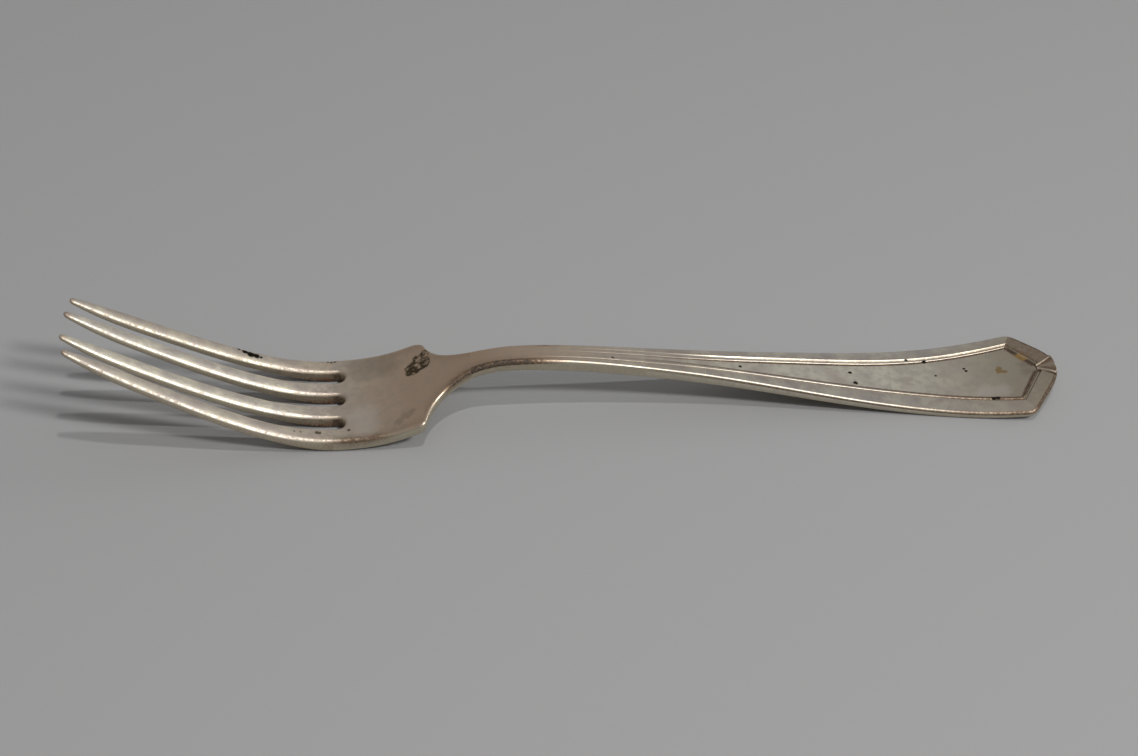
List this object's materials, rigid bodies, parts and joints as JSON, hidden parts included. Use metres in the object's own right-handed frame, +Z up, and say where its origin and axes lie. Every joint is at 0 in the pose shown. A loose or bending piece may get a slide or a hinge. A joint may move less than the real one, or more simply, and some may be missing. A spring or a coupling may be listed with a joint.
{
  "type": "dinner fork",
  "caption": "Dinner fork with curved tines, a flat bowl with pointed shoulders, an arched neck and a flat handle with a beaded border and a pointed end.",
  "frame": {"origin": "on the table, under the middle of the fork's length and width", "axes": "+X along the fork towards the end of the handle, +Y to the right of someone who holds the handle, +Z up"},
  "size_m": [0.2002, 0.0262, 0.0259],
  "materials": {
    "tine_silver": "satin",
    "body_silver": "satin",
    "border_silver": "satin"
  },
  "bodies": {
    "root": {"outer_tine_right": "tine_silver", "inner_tine_right": "tine_silver", "inner_tine_left": "tine_silver", "outer_tine_left": "tine_silver", "bowl": "body_silver", "neck": "body_silver", "handle_plate": "body_silver", "side_band_right": "border_silver", "side_bead_right": "border_silver", "end_band_right": "border_silver", "end_bead_right": "border_silver", "side_band_left": "border_silver", "side_bead_left": "border_silver", "end_band_left": "border_silver", "end_bead_left": "border_silver", "tip_keystone": "border_silver"}
  },
  "joints": []
}
